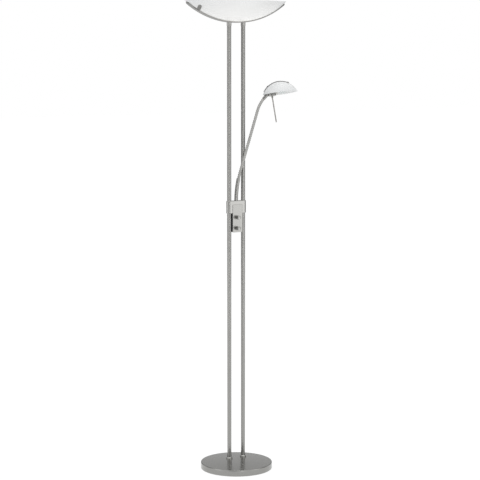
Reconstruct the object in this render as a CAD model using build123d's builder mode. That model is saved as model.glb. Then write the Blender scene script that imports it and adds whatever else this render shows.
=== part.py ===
from build123d import *
import os
from math import cos, degrees, radians, sin, sqrt

os.makedirs("parts", exist_ok=True)

# Torchiere floor lamp with a reading light on a flexible arm.
# Millimetres. The origin is the middle of the base's underside, X runs from the left pole to
# the right pole, Y runs to the back and Z runs up.

# Base
BASE_RADIUS = 138.0
BASE_TOP = 24.0
COVER_WALL = 1.2
COVER_LIFT = 1.0
COVER_EDGE = 2.2
WEIGHT_RADIUS = 134.0
WEIGHT_HOLLOW_TOP = 10.0
WEIGHT_HOLLOW_OUTER = 118.0
WEIGHT_HOLLOW_INNER = 28.0
PAD_THICKNESS = 2.0
PAD_RADIUS = 131.0
GLAND_HEIGHT = 9.0
CORD_RADIUS = 3.4

# Poles: the pair stands behind and to the right of the base's middle
POLE_X = 28.0
POLE_Y = 48.5
POLE_SPACING = 62.2
POLE_RADIUS = 8.0
POLE_BORE = 6.8
POLE_SPLIT = 1012.5
POLE_TOP = 1711.0
SLIP = 0.02
THREAD_RADIUS = 5.0
THREAD_BORE = 3.5
FOOT_COLLAR_RADIUS = 11.7
FOOT_COLLAR_HEIGHT = 6.0
TOP_COLLAR_RADIUS = 8.9
TOP_COLLAR_FOOT = 1704.0

# Clamp block round both poles, with the panel and the dimmers hung from it
BLOCK_FOOT = 988.0
BLOCK_TOP = 1037.0
BLOCK_LENGTH = 84.0
BLOCK_DEPTH = 21.6
BLOCK_EDGE = 2.4
CAVITY_LENGTH = 32.0
CAVITY_DEPTH = 13.0
CAVITY_FOOT = 993.0
CAVITY_TOP = 1031.0
CLAMP_SCREW_X = 19.6
PANEL_WIDTH = 44.0
PANEL_FOOT = 915.0
PANEL_TOP = 1023.0
PANEL_THICKNESS = 1.6
HOUSING_WIDTH = 41.6
HOUSING_DEPTH = 20.0
HOUSING_FOOT = 916.0
HOUSING_WALL = 1.8
KNOB_HEIGHTS = {"upper": 973.0, "lower": 931.0}
KNOB_X = -2.5
KNOB_RADIUS = 7.75
KNOB_LENGTH = 16.5
SHAFT_RADIUS = 3.0

# Flexible arm: upright, a wide bend, a straight lean and a tighter bend, all in one plane
ARM_TURN = -31.0
SLEEVE_RADIUS = 7.0
SLEEVE_BORE = 6.1
SLEEVE_LENGTH = 86.0
LOW_BEND_RADIUS = 400.0
LOW_BEND_ANGLE = 15.8
LEAN_LENGTH = 245.0
HIGH_BEND_RADIUS = 132.0
HIGH_BEND_ANGLE = 26.6
FLEX_CREST = 5.75
FLEX_VALLEY = 5.0
FLEX_BORE = 1.8
RIB_COUNT = 5
BALL_RADIUS = 3.9
CUP_RADIUS = 4.2
KNUCKLE_GAP = 0.65
FIRST_KNUCKLE = 96.0
KNUCKLE_STEP = 38.5
LINK_COUNT = 8

# Reading head: a glass boat turned upside down
HEAD_OUT = 168.5
HEAD_RISE = 412.0
HEAD_PITCH = 6.6
HEAD_ROLL = 9.0
HEAD_RADIUS = 73.0
HEAD_DEPTH = 44.0
HEAD_WALL = 3.5
HOLDER_X = -32.0
HOLDER_RADIUS = 16.0
HOLDER_HEIGHT = 14.0
HOLDER_DROP = 7.0
ROD_RADIUS = 2.4
ROD_LENGTH = 101.0
ROD_LEAN = 2.5

# Shade: a large glass boat on a bent metal strip
RIM_HEIGHT = 1800.0
SHADE_RADIUS = 358.0
SHADE_DEPTH = 81.0
SHADE_WALL = 4.0
STRIP_GAP = 0.2
STRIP_THICKNESS = 3.0
STRIP_HALF = 217.0
STRIP_WIDTH = 26.0
STRIP_END_WIDTH = 18.0
LUG_X = 173.0
LUG_ANGLE = 45.5
LUG_RADIUS = 6.8
LUG_THICKNESS = 2.0
LAMP_HEIGHT = 1752.0
FRAME_FOOT = 1727.4
FRAME_SHEET = 1.6
HOLDER_SPAN = 59.0

UP = Vector(0, 0, 1)
OUT = Vector(cos(radians(ARM_TURN)), sin(radians(ARM_TURN)), 0)
AWAY = UP.cross(OUT)
POLE_SIDES = {"left": POLE_X - POLE_SPACING / 2, "right": POLE_X + POLE_SPACING / 2}
POLE_PLACES = [(x, POLE_Y) for x in POLE_SIDES.values()]
BLOCK_FRONT = POLE_Y - BLOCK_DEPTH / 2
PANEL_FRONT = BLOCK_FRONT - PANEL_THICKNESS


# ---------------------------------------------------------------- base

# Pressed steel cover, open below, with two holes for the poles' nipples and one for the gland.
with BuildPart() as base_cover:
    with BuildSketch(Plane.XZ):
        with BuildLine():
            Polyline(
                (0, BASE_TOP),
                (BASE_RADIUS, BASE_TOP),
                (BASE_RADIUS, COVER_LIFT),
                (BASE_RADIUS - COVER_WALL, COVER_LIFT),
                (BASE_RADIUS - COVER_WALL, BASE_TOP - COVER_WALL),
                (0, BASE_TOP - COVER_WALL),
                close=True,
            )
        make_face()
        fillet(vertices().group_by(Axis.X)[-1].sort_by(Axis.Y)[-1], COVER_EDGE)
        fillet(vertices().group_by(Axis.X)[-2].sort_by(Axis.Y)[-1], COVER_EDGE - COVER_WALL)
    revolve(axis=Axis.Z)
    with BuildSketch(Plane.XY):
        with Locations(*POLE_PLACES):
            Circle(THREAD_RADIUS + 0.1)
    extrude(amount=BASE_TOP + 1, mode=Mode.SUBTRACT)
    with BuildSketch(Plane.XZ.offset(-BASE_RADIUS + 5)):
        with Locations((0, GLAND_HEIGHT)):
            Circle(5.5)
    extrude(amount=-10, mode=Mode.SUBTRACT)
base_cover.part.label = "base_cover"
export_step(base_cover.part, "parts/base_cover.step")

# Cast iron weight, recessed below for the nuts and the lead, with four stiffening webs.
with BuildPart() as base_weight:
    with BuildSketch(Plane.XY.offset(PAD_THICKNESS)):
        Circle(WEIGHT_RADIUS)
    extrude(amount=BASE_TOP - COVER_WALL - PAD_THICKNESS, taper=1)
    with BuildSketch(Plane.XY.offset(PAD_THICKNESS)):
        Circle(WEIGHT_HOLLOW_OUTER)
        Circle(WEIGHT_HOLLOW_INNER, mode=Mode.SUBTRACT)
        for web_turn in (20, 110):
            Rectangle(2 * WEIGHT_HOLLOW_OUTER, 10, rotation=web_turn, mode=Mode.SUBTRACT)
    extrude(amount=WEIGHT_HOLLOW_TOP - PAD_THICKNESS, mode=Mode.SUBTRACT)
    with BuildSketch(Plane.XY.offset(PAD_THICKNESS)):
        with Locations((0, (WEIGHT_HOLLOW_OUTER + WEIGHT_RADIUS) / 2)):
            Rectangle(16, WEIGHT_RADIUS - WEIGHT_HOLLOW_OUTER + 6)
    extrude(amount=14, mode=Mode.SUBTRACT)
    with BuildSketch(Plane.XY):
        with Locations(*POLE_PLACES):
            Circle(THREAD_RADIUS + 0.4)
    extrude(amount=BASE_TOP, mode=Mode.SUBTRACT)
base_weight.part.label = "base_weight"
export_step(base_weight.part, "parts/base_weight.step")

# Felt pad glued over the weight's underside: the lamp stands on it.
with BuildPart() as base_pad:
    with BuildSketch(Plane.XY):
        Circle(PAD_RADIUS)
    extrude(amount=PAD_THICKNESS)
    chamfer(base_pad.edges().group_by(Axis.Z)[0], 0.5)
base_pad.part.label = "base_pad"
export_step(base_pad.part, "parts/base_pad.step")

# Gland for the mains lead at the back: flange outside, neck through the cover, collar inside.
GLAND_PLANE = Plane(origin=(0, BASE_RADIUS + 1.6, GLAND_HEIGHT), x_dir=(1, 0, 0), z_dir=(0, -1, 0))
with BuildPart() as cord_gland:
    with BuildSketch(GLAND_PLANE):
        Circle(7)
    extrude(amount=1.6)
    with BuildSketch(GLAND_PLANE):
        Circle(5.4)
    extrude(amount=4)
    with BuildSketch(GLAND_PLANE.offset(3.4)):
        Circle(6.4)
    extrude(amount=6, taper=6)
    with BuildSketch(GLAND_PLANE):
        Circle(CORD_RADIUS)
    extrude(amount=12, mode=Mode.SUBTRACT)
    back_rims = cord_gland.edges().filter_by(GeomType.CIRCLE).group_by(Axis.Y)[-1]
    fillet(back_rims.sort_by(SortBy.RADIUS)[-1], 0.8)
cord_gland.part.label = "cord_gland"
export_step(cord_gland.part, "parts/cord_gland.step")


# ---------------------------------------------------------------- poles

for side, x in POLE_SIDES.items():
    # Steel tubes, parted inside the clamp block, with a side hole for the wires at each joint.
    with BuildPart() as pole_lower:
        with BuildSketch(Plane.XY.offset(BASE_TOP)):
            with Locations((x, POLE_Y)):
                Circle(POLE_RADIUS)
                Circle(POLE_BORE, mode=Mode.SUBTRACT)
        extrude(amount=POLE_SPLIT - BASE_TOP)
        with BuildSketch(Plane.YZ.offset(x)):
            with Locations((POLE_Y, BLOCK_FOOT + 8)):
                Circle(3)
        extrude(amount=10 if side == "left" else -10, mode=Mode.SUBTRACT)
    pole_lower.part.label = f"pole_lower_{side}"
    export_step(pole_lower.part, f"parts/pole_lower_{side}.step")

    with BuildPart() as pole_upper:
        with BuildSketch(Plane.XY.offset(POLE_SPLIT)):
            with Locations((x, POLE_Y)):
                Circle(POLE_RADIUS)
                Circle(POLE_BORE, mode=Mode.SUBTRACT)
        extrude(amount=POLE_TOP - POLE_SPLIT)
        with BuildSketch(Plane.YZ.offset(x)):
            with Locations((POLE_Y, BLOCK_TOP - 8)):
                Circle(3)
        extrude(amount=10 if side == "left" else -10, mode=Mode.SUBTRACT)
    pole_upper.part.label = f"pole_upper_{side}"
    export_step(pole_upper.part, f"parts/pole_upper_{side}.step")

# Turned sleeves that join the lower and upper tubes inside the block.
with BuildPart() as pole_couplers:
    with BuildSketch(Plane.XY.offset(POLE_SPLIT - 9.5)):
        with Locations(*POLE_PLACES):
            Circle(POLE_BORE - SLIP)
            Circle(4.4, mode=Mode.SUBTRACT)
    extrude(amount=19)
pole_couplers.part.label = "pole_couplers"
export_step(pole_couplers.part, "parts/pole_couplers.step")

# Threaded plugs pressed into the foot of each tube, and one in each head.
with BuildPart() as pole_plugs:
    for plug_foot in (BASE_TOP, POLE_TOP - 18):
        with BuildSketch(Plane.XY.offset(plug_foot)):
            with Locations(*POLE_PLACES):
                Circle(POLE_BORE - SLIP)
                Circle(THREAD_RADIUS + SLIP, mode=Mode.SUBTRACT)
        extrude(amount=18)
pole_plugs.part.label = "pole_plugs"
export_step(pole_plugs.part, "parts/pole_plugs.step")

# Bevelled collars at the foot of the poles.
with BuildPart() as foot_collars:
    for x, y in POLE_PLACES:
        with BuildSketch(Plane(origin=(x, y, BASE_TOP), x_dir=(1, 0, 0), z_dir=(0, -1, 0))):
            with BuildLine():
                Polyline(
                    (POLE_RADIUS + SLIP, 0),
                    (FOOT_COLLAR_RADIUS, 0),
                    (FOOT_COLLAR_RADIUS, FOOT_COLLAR_HEIGHT - 2.6),
                    (FOOT_COLLAR_RADIUS - 2.6, FOOT_COLLAR_HEIGHT),
                    (POLE_RADIUS + SLIP, FOOT_COLLAR_HEIGHT),
                    close=True,
                )
            make_face()
        revolve(axis=Axis((x, y, 0), (0, 0, 1)))
foot_collars.part.label = "foot_collars"
export_step(foot_collars.part, "parts/foot_collars.step")

# Hollow threaded nipples: the poles' wires run through them.
with BuildPart() as foot_nipples:
    with BuildSketch(Plane.XY.offset(PAD_THICKNESS + 0.8)):
        with Locations(*POLE_PLACES):
            Circle(THREAD_RADIUS)
            Circle(THREAD_BORE, mode=Mode.SUBTRACT)
    extrude(amount=BASE_TOP + 14)
foot_nipples.part.label = "foot_nipples"
export_step(foot_nipples.part, "parts/foot_nipples.step")

NIPPLE_TOP = FRAME_FOOT + FRAME_SHEET + 6
with BuildPart() as top_nipples:
    with BuildSketch(Plane.XY.offset(POLE_TOP - 16)):
        with Locations(*POLE_PLACES):
            Circle(THREAD_RADIUS)
            Circle(THREAD_BORE, mode=Mode.SUBTRACT)
    extrude(amount=NIPPLE_TOP - POLE_TOP + 16)
top_nipples.part.label = "top_nipples"
export_step(top_nipples.part, "parts/top_nipples.step")

# Flanged nuts on the nipples: two under the weight, two on the lamp frame, one under the arm.
NUT_HEIGHT = 4.6
NUT_FLANGE = 1.2
NUT_SEATS = [(x, y, WEIGHT_HOLLOW_TOP, -1) for x, y in POLE_PLACES]
NUT_SEATS += [(x, y, FRAME_FOOT + FRAME_SHEET, 1) for x, y in POLE_PLACES]
NUT_SEATS += [(POLE_X, POLE_Y, CAVITY_TOP, -1)]
with BuildPart() as pipe_nuts:
    for x, y, seat, way in NUT_SEATS:
        NUT_PLANE = Plane(origin=(x, y, seat), x_dir=(1, 0, 0), z_dir=(0, 0, way))
        nut_flat = 5.6 if seat == CAVITY_TOP else 7.0
        with BuildSketch(NUT_PLANE):
            Circle(nut_flat + 0.8)
            Circle(THREAD_RADIUS + SLIP, mode=Mode.SUBTRACT)
        extrude(amount=NUT_FLANGE)
        with BuildSketch(NUT_PLANE):
            RegularPolygon(nut_flat, 6, major_radius=False)
            Circle(THREAD_RADIUS + SLIP, mode=Mode.SUBTRACT)
        extrude(amount=NUT_HEIGHT)
pipe_nuts.part.label = "pipe_nuts"
export_step(pipe_nuts.part, "parts/pipe_nuts.step")


# ---------------------------------------------------------------- clamp block

def block_blank():
    """The whole block with its pole channels, wire chamber and fixing holes."""
    with BuildPart() as blank:
        with BuildSketch(Plane.XY.offset(BLOCK_FOOT)):
            with Locations((POLE_X, POLE_Y)):
                SlotOverall(BLOCK_LENGTH, BLOCK_DEPTH)
        extrude(amount=BLOCK_TOP - BLOCK_FOOT)
        fillet(blank.edges().group_by(Axis.Z)[0] + blank.edges().group_by(Axis.Z)[-1], BLOCK_EDGE)
        with BuildSketch(Plane.XY.offset(BLOCK_FOOT)):
            with Locations(*POLE_PLACES):
                Circle(POLE_RADIUS + SLIP)
        extrude(amount=BLOCK_TOP - BLOCK_FOOT, mode=Mode.SUBTRACT)
        with BuildSketch(Plane.XY.offset(CAVITY_FOOT)):
            with Locations((POLE_X, POLE_Y)):
                Rectangle(CAVITY_LENGTH, CAVITY_DEPTH)
        extrude(amount=CAVITY_TOP - CAVITY_FOOT, mode=Mode.SUBTRACT)
        with BuildSketch(Plane.XY.offset(BLOCK_TOP - 10)):
            with Locations((POLE_X, POLE_Y)):
                Circle(THREAD_RADIUS + 0.1)
        extrude(amount=10, mode=Mode.SUBTRACT)
        with BuildSketch(Plane.XY.offset(BLOCK_FOOT)):
            with Locations((POLE_X, POLE_Y)):
                Rectangle(18, 7)
        extrude(amount=8, mode=Mode.SUBTRACT)
        for channel in (BLOCK_FOOT + 8, BLOCK_TOP - 8 - 6):
            with BuildSketch(Plane.YZ.offset(POLE_X)):
                with Locations((POLE_Y, channel)):
                    Circle(2.6)
            extrude(amount=POLE_SPACING / 2, both=True, mode=Mode.SUBTRACT)
    return blank.part


CLAMP_SCREWS = [(x, z) for x in (-CLAMP_SCREW_X, CLAMP_SCREW_X) for z in (1001.0, 1018.0)]
REAR_PLANE = Plane(origin=(POLE_X, POLE_Y + BLOCK_DEPTH / 2, 0), x_dir=(-1, 0, 0), z_dir=(0, 1, 0))

with BuildPart() as block_rear:
    add(block_blank())
    split(bisect_by=Plane.XZ.offset(-POLE_Y), keep=Keep.BOTTOM)
    with Locations(*[REAR_PLANE.location * Location((x, z, 0)) for x, z in CLAMP_SCREWS]):
        CounterSinkHole(1.6, 3.2, depth=12, counter_sink_angle=90)
block_rear.part.label = "block_rear"
export_step(block_rear.part, "parts/block_rear.step")

with BuildPart() as block_front:
    add(block_blank())
    split(bisect_by=Plane.XZ.offset(-POLE_Y), keep=Keep.TOP)
    with BuildSketch(Plane.XZ.offset(-POLE_Y)):
        with Locations(*[(POLE_X + x, z) for x, z in CLAMP_SCREWS]):
            Circle(1.6)
    extrude(amount=7, mode=Mode.SUBTRACT)
block_front.part.label = "block_front"
export_step(block_front.part, "parts/block_front.step")

# Countersunk screws that draw the two halves together round the poles.
with BuildPart() as clamp_screws:
    for x, z in CLAMP_SCREWS:
        screw_seat = (POLE_X + x, POLE_Y + BLOCK_DEPTH / 2, z)
        with BuildSketch(Plane(origin=screw_seat, x_dir=(1, 0, 0), z_dir=(0, 0, 1))):
            with BuildLine():
                Polyline((0, -0.3), (2.8, -0.3), (1.5, -1.6), (1.5, -16.5), (0, -17.2), close=True)
            make_face()
        revolve(axis=Axis((POLE_X + x, 0, z), (0, 1, 0)))
clamp_screws.part.label = "clamp_screws"
export_step(clamp_screws.part, "parts/clamp_screws.step")

# Three-way terminal block in the wire chamber.
with BuildPart() as terminal_block:
    with BuildSketch(Plane.XY.offset(CAVITY_FOOT + 4)):
        with Locations((POLE_X, POLE_Y)):
            Rectangle(24, 8)
    extrude(amount=11)
    with BuildSketch(Plane.XY.offset(CAVITY_FOOT + 15)):
        with GridLocations(8, 1, 3, 1):
            with Locations((POLE_X, POLE_Y)):
                Circle(1.6)
    extrude(amount=-11, mode=Mode.SUBTRACT)
    with BuildSketch(Plane.XY.offset(CAVITY_FOOT + 4)):
        with GridLocations(8, 1, 2, 1):
            with Locations((POLE_X, POLE_Y - 3.5), (POLE_X, POLE_Y + 3.5)):
                Rectangle(1.4, 3)
    extrude(amount=11, mode=Mode.SUBTRACT)
terminal_block.part.label = "terminal_block"
export_step(terminal_block.part, "parts/terminal_block.step")


# ---------------------------------------------------------------- panel and dimmers

# Brushed panel on the block's flat front, hanging below it, with two holes for the dimmers.
with BuildPart() as front_panel:
    with BuildSketch(Plane.XZ.offset(-BLOCK_FRONT)):
        with Locations((POLE_X, (PANEL_FOOT + PANEL_TOP) / 2)):
            RectangleRounded(PANEL_WIDTH, PANEL_TOP - PANEL_FOOT, 3.6)
        with Locations(*[(POLE_X + KNOB_X, z) for z in KNOB_HEIGHTS.values()]):
            Circle(3.7, mode=Mode.SUBTRACT)
    extrude(amount=PANEL_THICKNESS)
    fillet(front_panel.faces().sort_by(Axis.Y)[0].outer_wire().edges(), 0.9)
front_panel.part.label = "front_panel"
export_step(front_panel.part, "parts/front_panel.step")

# Black moulded housing behind the panel, open to the front, with a wire hole into the block.
with BuildPart() as dimmer_housing:
    with BuildSketch(Plane.XY.offset(HOUSING_FOOT)):
        with Locations((POLE_X, BLOCK_FRONT + HOUSING_DEPTH / 2)):
            Rectangle(HOUSING_WIDTH, HOUSING_DEPTH)
    extrude(amount=BLOCK_FOOT - HOUSING_FOOT)
    fillet(dimmer_housing.edges().filter_by(Axis.Z).group_by(Axis.Y)[-1], 2.4)
    fillet(dimmer_housing.faces().sort_by(Axis.Z)[0].edges().group_by(Axis.Y)[-1], 1.2)
    with BuildSketch(Plane.XZ.offset(-BLOCK_FRONT)):
        with Locations((POLE_X, (HOUSING_FOOT + BLOCK_FOOT) / 2)):
            Rectangle(HOUSING_WIDTH - 2 * HOUSING_WALL, BLOCK_FOOT - HOUSING_FOOT - 2 * HOUSING_WALL)
    extrude(amount=-HOUSING_DEPTH + HOUSING_WALL, mode=Mode.SUBTRACT)
    with BuildSketch(Plane.XY.offset(BLOCK_FOOT)):
        with Locations((POLE_X, POLE_Y)):
            Rectangle(18, 7)
    extrude(amount=-HOUSING_WALL, mode=Mode.SUBTRACT)
    with BuildSketch(Plane.XZ.offset(-BLOCK_FRONT - HOUSING_DEPTH)):
        with Locations((POLE_X, (HOUSING_FOOT + BLOCK_FOOT) / 2)):
            with GridLocations(0, 6, 1, 7):
                SlotOverall(22, 2)
    extrude(amount=HOUSING_WALL, mode=Mode.SUBTRACT)
dimmer_housing.part.label = "dimmer_housing"
export_step(dimmer_housing.part, "parts/dimmer_housing.step")

DIMMER_X = POLE_X + KNOB_X
with BuildPart() as dimmer_nuts:
    for z in KNOB_HEIGHTS.values():
        with BuildSketch(Plane(origin=(DIMMER_X, PANEL_FRONT, z), x_dir=(1, 0, 0), z_dir=(0, -1, 0))):
            RegularPolygon(5, 6, major_radius=False)
            Circle(3.5 + SLIP, mode=Mode.SUBTRACT)
        extrude(amount=2)
dimmer_nuts.part.label = "dimmer_nuts"
export_step(dimmer_nuts.part, "parts/dimmer_nuts.step")

for name, z in KNOB_HEIGHTS.items():
    # Rotary dimmer: body behind the panel, threaded bush through it.
    with BuildPart() as dimmer:
        with BuildSketch(Plane.XZ.offset(-BLOCK_FRONT)):
            with Locations((DIMMER_X, z)):
                RectangleRounded(17, 20, 1.5)
        extrude(amount=-11)
        with BuildSketch(Plane.XZ.offset(-BLOCK_FRONT)):
            with Locations((DIMMER_X, z)):
                Circle(3.5)
        extrude(amount=PANEL_THICKNESS + 3)
        with BuildSketch(Plane.XZ.offset(-BLOCK_FRONT - 6)):
            with Locations((DIMMER_X, z)):
                Circle(SHAFT_RADIUS - 1 + 0.05)
        extrude(amount=PANEL_THICKNESS + 9, mode=Mode.SUBTRACT)
        with BuildSketch(Plane.XZ.offset(-BLOCK_FRONT - 11)):
            with Locations((DIMMER_X, z)):
                with GridLocations(4, 14, 3, 2):
                    Circle(0.6)
        extrude(amount=-3)
    dimmer.part.label = f"dimmer_{name}"
    export_step(dimmer.part, f"parts/dimmer_{name}.step")

    # Spindle: it turns in the bush and carries the knob on a flat.
    with BuildPart() as spindle:
        with BuildSketch(Plane.XZ.offset(-BLOCK_FRONT - 5)):
            with Locations((DIMMER_X, z)):
                Circle(SHAFT_RADIUS - 1)
        extrude(amount=PANEL_THICKNESS + 5 + 3.4)
        with BuildSketch(Plane.XZ.offset(-PANEL_FRONT + 3.4)):
            with Locations((DIMMER_X, z)):
                Circle(SHAFT_RADIUS)
            with Locations((DIMMER_X, z + SHAFT_RADIUS)):
                Rectangle(8, 2.4, mode=Mode.SUBTRACT)
        extrude(amount=9)
    spindle.part.label = f"spindle_{name}"
    export_step(spindle.part, f"parts/spindle_{name}.step")

    # Turned knob: hollow skirt over the nut, slight taper, dished end with a pointer groove.
    KNOB_PLANE = Plane(origin=(DIMMER_X, PANEL_FRONT - 0.6, z), x_dir=(1, 0, 0), z_dir=(0, 0, 1))
    with BuildPart() as knob:
        with BuildSketch(KNOB_PLANE):
            with BuildLine():
                rim = (KNOB_RADIUS - 0.35, -KNOB_LENGTH + 1)
                front = (KNOB_RADIUS - 1.35, -KNOB_LENGTH)
                Polyline(
                    (0, -KNOB_LENGTH + 0.7),
                    (0, -3.2),
                    (6.2, -3.2),
                    (6.2, 0),
                    (KNOB_RADIUS, 0),
                    rim,
                    front,
                )
                ThreePointArc(front, (KNOB_RADIUS / 2, -KNOB_LENGTH + 0.45), (0, -KNOB_LENGTH + 0.7))
            make_face()
        revolve(axis=Axis(KNOB_PLANE.origin, (0, 1, 0)))
        with BuildSketch(Plane.XZ.offset(-PANEL_FRONT + 3.0)):
            with Locations((DIMMER_X, z)):
                Circle(SHAFT_RADIUS + SLIP)
            with Locations((DIMMER_X, z + SHAFT_RADIUS + SLIP)):
                Rectangle(8, 2.4, mode=Mode.SUBTRACT)
        extrude(amount=9.6, mode=Mode.SUBTRACT)
        with BuildSketch(Plane.XZ.offset(-PANEL_FRONT + 3.0)):
            with Locations((DIMMER_X, z)):
                Circle(SHAFT_RADIUS + 1)
        extrude(amount=0.9, mode=Mode.SUBTRACT)
        with BuildSketch(Plane.XZ.offset(-PANEL_FRONT + 0.6 + KNOB_LENGTH)):
            with Locations((DIMMER_X - 3.6, z)):
                SlotOverall(5.2, 1.0)
        extrude(amount=-1.2, mode=Mode.SUBTRACT)
    knob.part.label = f"knob_{name}"
    export_step(knob.part, f"parts/knob_{name}.step")


# ---------------------------------------------------------------- flexible arm

ARM_FOOT = Vector(POLE_X, POLE_Y, BLOCK_TOP)
ARM_PLANE = Plane(origin=ARM_FOOT, x_dir=OUT, z_dir=-AWAY)
LOW_BEND = radians(LOW_BEND_ANGLE)
HIGH_BEND = radians(HIGH_BEND_ANGLE)
LOW_BEND_LENGTH = LOW_BEND_RADIUS * LOW_BEND
HIGH_BEND_START = LOW_BEND_LENGTH + LEAN_LENGTH
HIGH_BEND_LENGTH = HIGH_BEND_RADIUS * HIGH_BEND


def bend_step(radius, lean, turn):
    """How far out and up an arc goes that starts at this lean and turns on by this much."""
    out = radius * (cos(lean) - cos(lean + turn))
    up = radius * (sin(lean + turn) - sin(lean))
    return out, up


def arm_plane(length):
    """The plane square to the arm at this length from its foot, with X straight back."""
    low = min(length, LOW_BEND_LENGTH) / LOW_BEND_RADIUS
    out, up = bend_step(LOW_BEND_RADIUS, 0, low)
    straight = min(max(length - LOW_BEND_LENGTH, 0), LEAN_LENGTH)
    high = min(max(length - HIGH_BEND_START, 0), HIGH_BEND_LENGTH) / HIGH_BEND_RADIUS
    high_out, high_up = bend_step(HIGH_BEND_RADIUS, LOW_BEND, high)
    lean = low + high
    straight_end = max(length - HIGH_BEND_START - HIGH_BEND_LENGTH, 0)
    out += straight * sin(LOW_BEND) + high_out + straight_end * sin(lean)
    up += straight * cos(LOW_BEND) + high_up + straight_end * cos(lean)
    return Plane(
        origin=ARM_FOOT + OUT * out + UP * up,
        x_dir=AWAY,
        z_dir=OUT * sin(lean) + UP * cos(lean),
    )


# One rib: its share of the pitch, and the hose's radius there.
RIB_PROFILE = ((0, FLEX_VALLEY), (0.22, FLEX_CREST), (0.6, FLEX_CREST), (0.82, FLEX_VALLEY))


def ribbed_hose(start, end, ribs):
    """Ribs along the arm from one length to another: four circles a rib, joined by straight walls."""
    pitch = (end - start) / ribs
    with BuildPart() as hose:
        for rib in range(ribs):
            foot = start + rib * pitch
            for share, radius in RIB_PROFILE:
                with BuildSketch(arm_plane(foot + share * pitch)):
                    Circle(radius)
        with BuildSketch(arm_plane(end)):
            Circle(FLEX_VALLEY)
        loft(ruled=True)
    return hose.part


def bore_tool(start, end, radius, steps):
    """A round core that follows the arm, to be cut out of a piece of it."""
    with BuildPart() as core:
        for step in range(steps + 1):
            with BuildSketch(arm_plane(start + (end - start) * step / steps)):
                Circle(radius)
        loft(ruled=True)
    return core.part


KNUCKLES = [FIRST_KNUCKLE + KNUCKLE_STEP * number for number in range(LINK_COUNT + 1)]

# Hollow nipple that holds the arm to the block's top.
with BuildPart() as arm_nipple:
    with BuildSketch(Plane.XY.offset(CAVITY_TOP - NUT_HEIGHT - 1)):
        with Locations((POLE_X, POLE_Y)):
            Circle(THREAD_RADIUS)
            Circle(THREAD_BORE, mode=Mode.SUBTRACT)
    extrude(amount=BLOCK_TOP - CAVITY_TOP + NUT_HEIGHT + 7)
arm_nipple.part.label = "arm_nipple"
export_step(arm_nipple.part, "parts/arm_nipple.step")

# Smooth sleeve over the foot of the flexible tube, bent with it.
with BuildPart() as arm_sleeve:
    with BuildLine(ARM_PLANE) as sleeve_path:
        sleeve_turn = degrees(SLEEVE_LENGTH / LOW_BEND_RADIUS)
        JernArc(start=(0, 0), tangent=(0, 1), radius=LOW_BEND_RADIUS, arc_size=-sleeve_turn)
    with BuildSketch(arm_plane(0)):
        Circle(SLEEVE_RADIUS)
        Circle(SLEEVE_BORE, mode=Mode.SUBTRACT)
    sweep(path=sleeve_path.wires()[0])
arm_sleeve.part.label = "arm_sleeve"
export_step(arm_sleeve.part, "parts/arm_sleeve.step")

# Foot of the flexible tube: most of it is inside the sleeve, its end is a cup.
with BuildPart() as flex_root:
    add(ribbed_hose(8, KNUCKLES[0] - KNUCKLE_GAP, 12))
    add(bore_tool(7, KNUCKLES[0], FLEX_BORE, 4), mode=Mode.SUBTRACT)
    with Locations(arm_plane(KNUCKLES[0])):
        Sphere(CUP_RADIUS, mode=Mode.SUBTRACT)
flex_root.part.label = "flex_root"
export_step(flex_root.part, "parts/flex_root.step")

# Links of the flexible tube: a ball below sits in the cup of the link before.
for number in range(LINK_COUNT):
    start = KNUCKLES[number]
    end = KNUCKLES[number + 1]
    with BuildPart() as flex_link:
        add(ribbed_hose(start + KNUCKLE_GAP, end - KNUCKLE_GAP, RIB_COUNT))
        with Locations(arm_plane(start)):
            Sphere(BALL_RADIUS)
        with Locations(arm_plane(end)):
            Sphere(CUP_RADIUS, mode=Mode.SUBTRACT)
        add(bore_tool(start - BALL_RADIUS - 1, end, FLEX_BORE, 6), mode=Mode.SUBTRACT)
    flex_link.part.label = f"flex_link_{number + 1}"
    export_step(flex_link.part, f"parts/flex_link_{number + 1}.step")


# ---------------------------------------------------------------- reading head

PITCH = radians(HEAD_PITCH)
ROLL = radians(HEAD_ROLL)
HEAD_ALONG = OUT * cos(PITCH) + UP * sin(PITCH)
HEAD_UP = (UP * cos(PITCH) - OUT * sin(PITCH)) * cos(ROLL) + AWAY * sin(ROLL)
HEAD = Plane(origin=ARM_FOOT + OUT * HEAD_OUT + UP * HEAD_RISE, x_dir=HEAD_ALONG, z_dir=HEAD_UP)


def boat_side(radius, depth, x):
    """Half width, or depth, of a boat-shaped glass at this distance from its middle."""
    return sqrt(radius**2 - x**2) - (radius - depth)


def boat_solid(plane, radius, depth, tip):
    """A solid boat: an arc turned half a turn about the long axis of its rim."""
    half = sqrt(radius**2 - (radius - depth) ** 2) - tip
    side = boat_side(radius, depth, half)
    with BuildPart() as boat:
        with BuildSketch(plane):
            with BuildLine():
                Polyline((half, side), (half, 0), (-half, 0), (-half, side))
                ThreePointArc((-half, side), (0, depth), (half, side))
            make_face()
        revolve(axis=Axis(plane.origin, plane.x_dir), revolution_arc=180)
    return boat.part


def side_plane(plane):
    """The upright plane through a boat's long axis: X along it, Y from the rim to the keel."""
    return Plane(origin=plane.origin, x_dir=plane.x_dir, z_dir=-plane.y_dir)


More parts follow.
